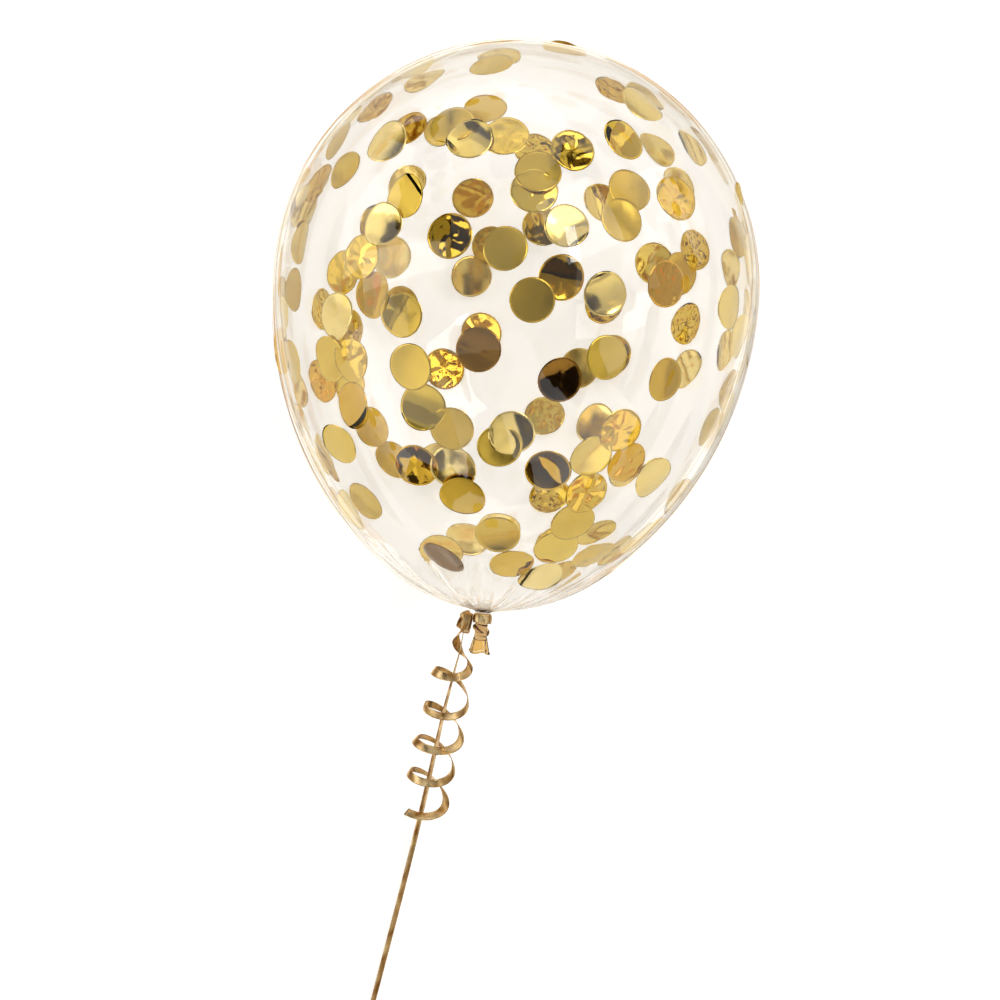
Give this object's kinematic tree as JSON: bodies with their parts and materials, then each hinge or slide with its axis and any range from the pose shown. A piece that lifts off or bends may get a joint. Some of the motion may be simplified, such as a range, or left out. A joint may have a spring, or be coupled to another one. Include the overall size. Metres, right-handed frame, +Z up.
{
  "type": "confetti balloon",
  "caption": "Clear round latex balloon filled with loose foil discs, lying on its side, with a knotted neck and a tied curling ribbon.",
  "frame": {"origin": "on the floor under the middle of the balloon's own box, ribbon left out", "axes": "+Y towards the crown, the neck towards -Y; +Z up; the balloon lies on its side with its neck tilted down 11 degrees"},
  "size_m": [0.283, 0.6553, 0.2829],
  "materials": {
    "clear_latex": "clear natural latex film, glossy and see-through, faintly amber where it is thick",
    "gold_foil": "metallised film discs, mirror gold, slightly waved",
    "gold_ribbon": "metallic gold curling ribbon, fine grooves along its length"
  },
  "bodies": {
    "root": {"balloon": "clear_latex", "ribbon_tie": "gold_ribbon", "ribbon": "gold_ribbon", "ribbon_coil": "gold_ribbon", "curled_end": "gold_ribbon"}
  },
  "joints": []
}
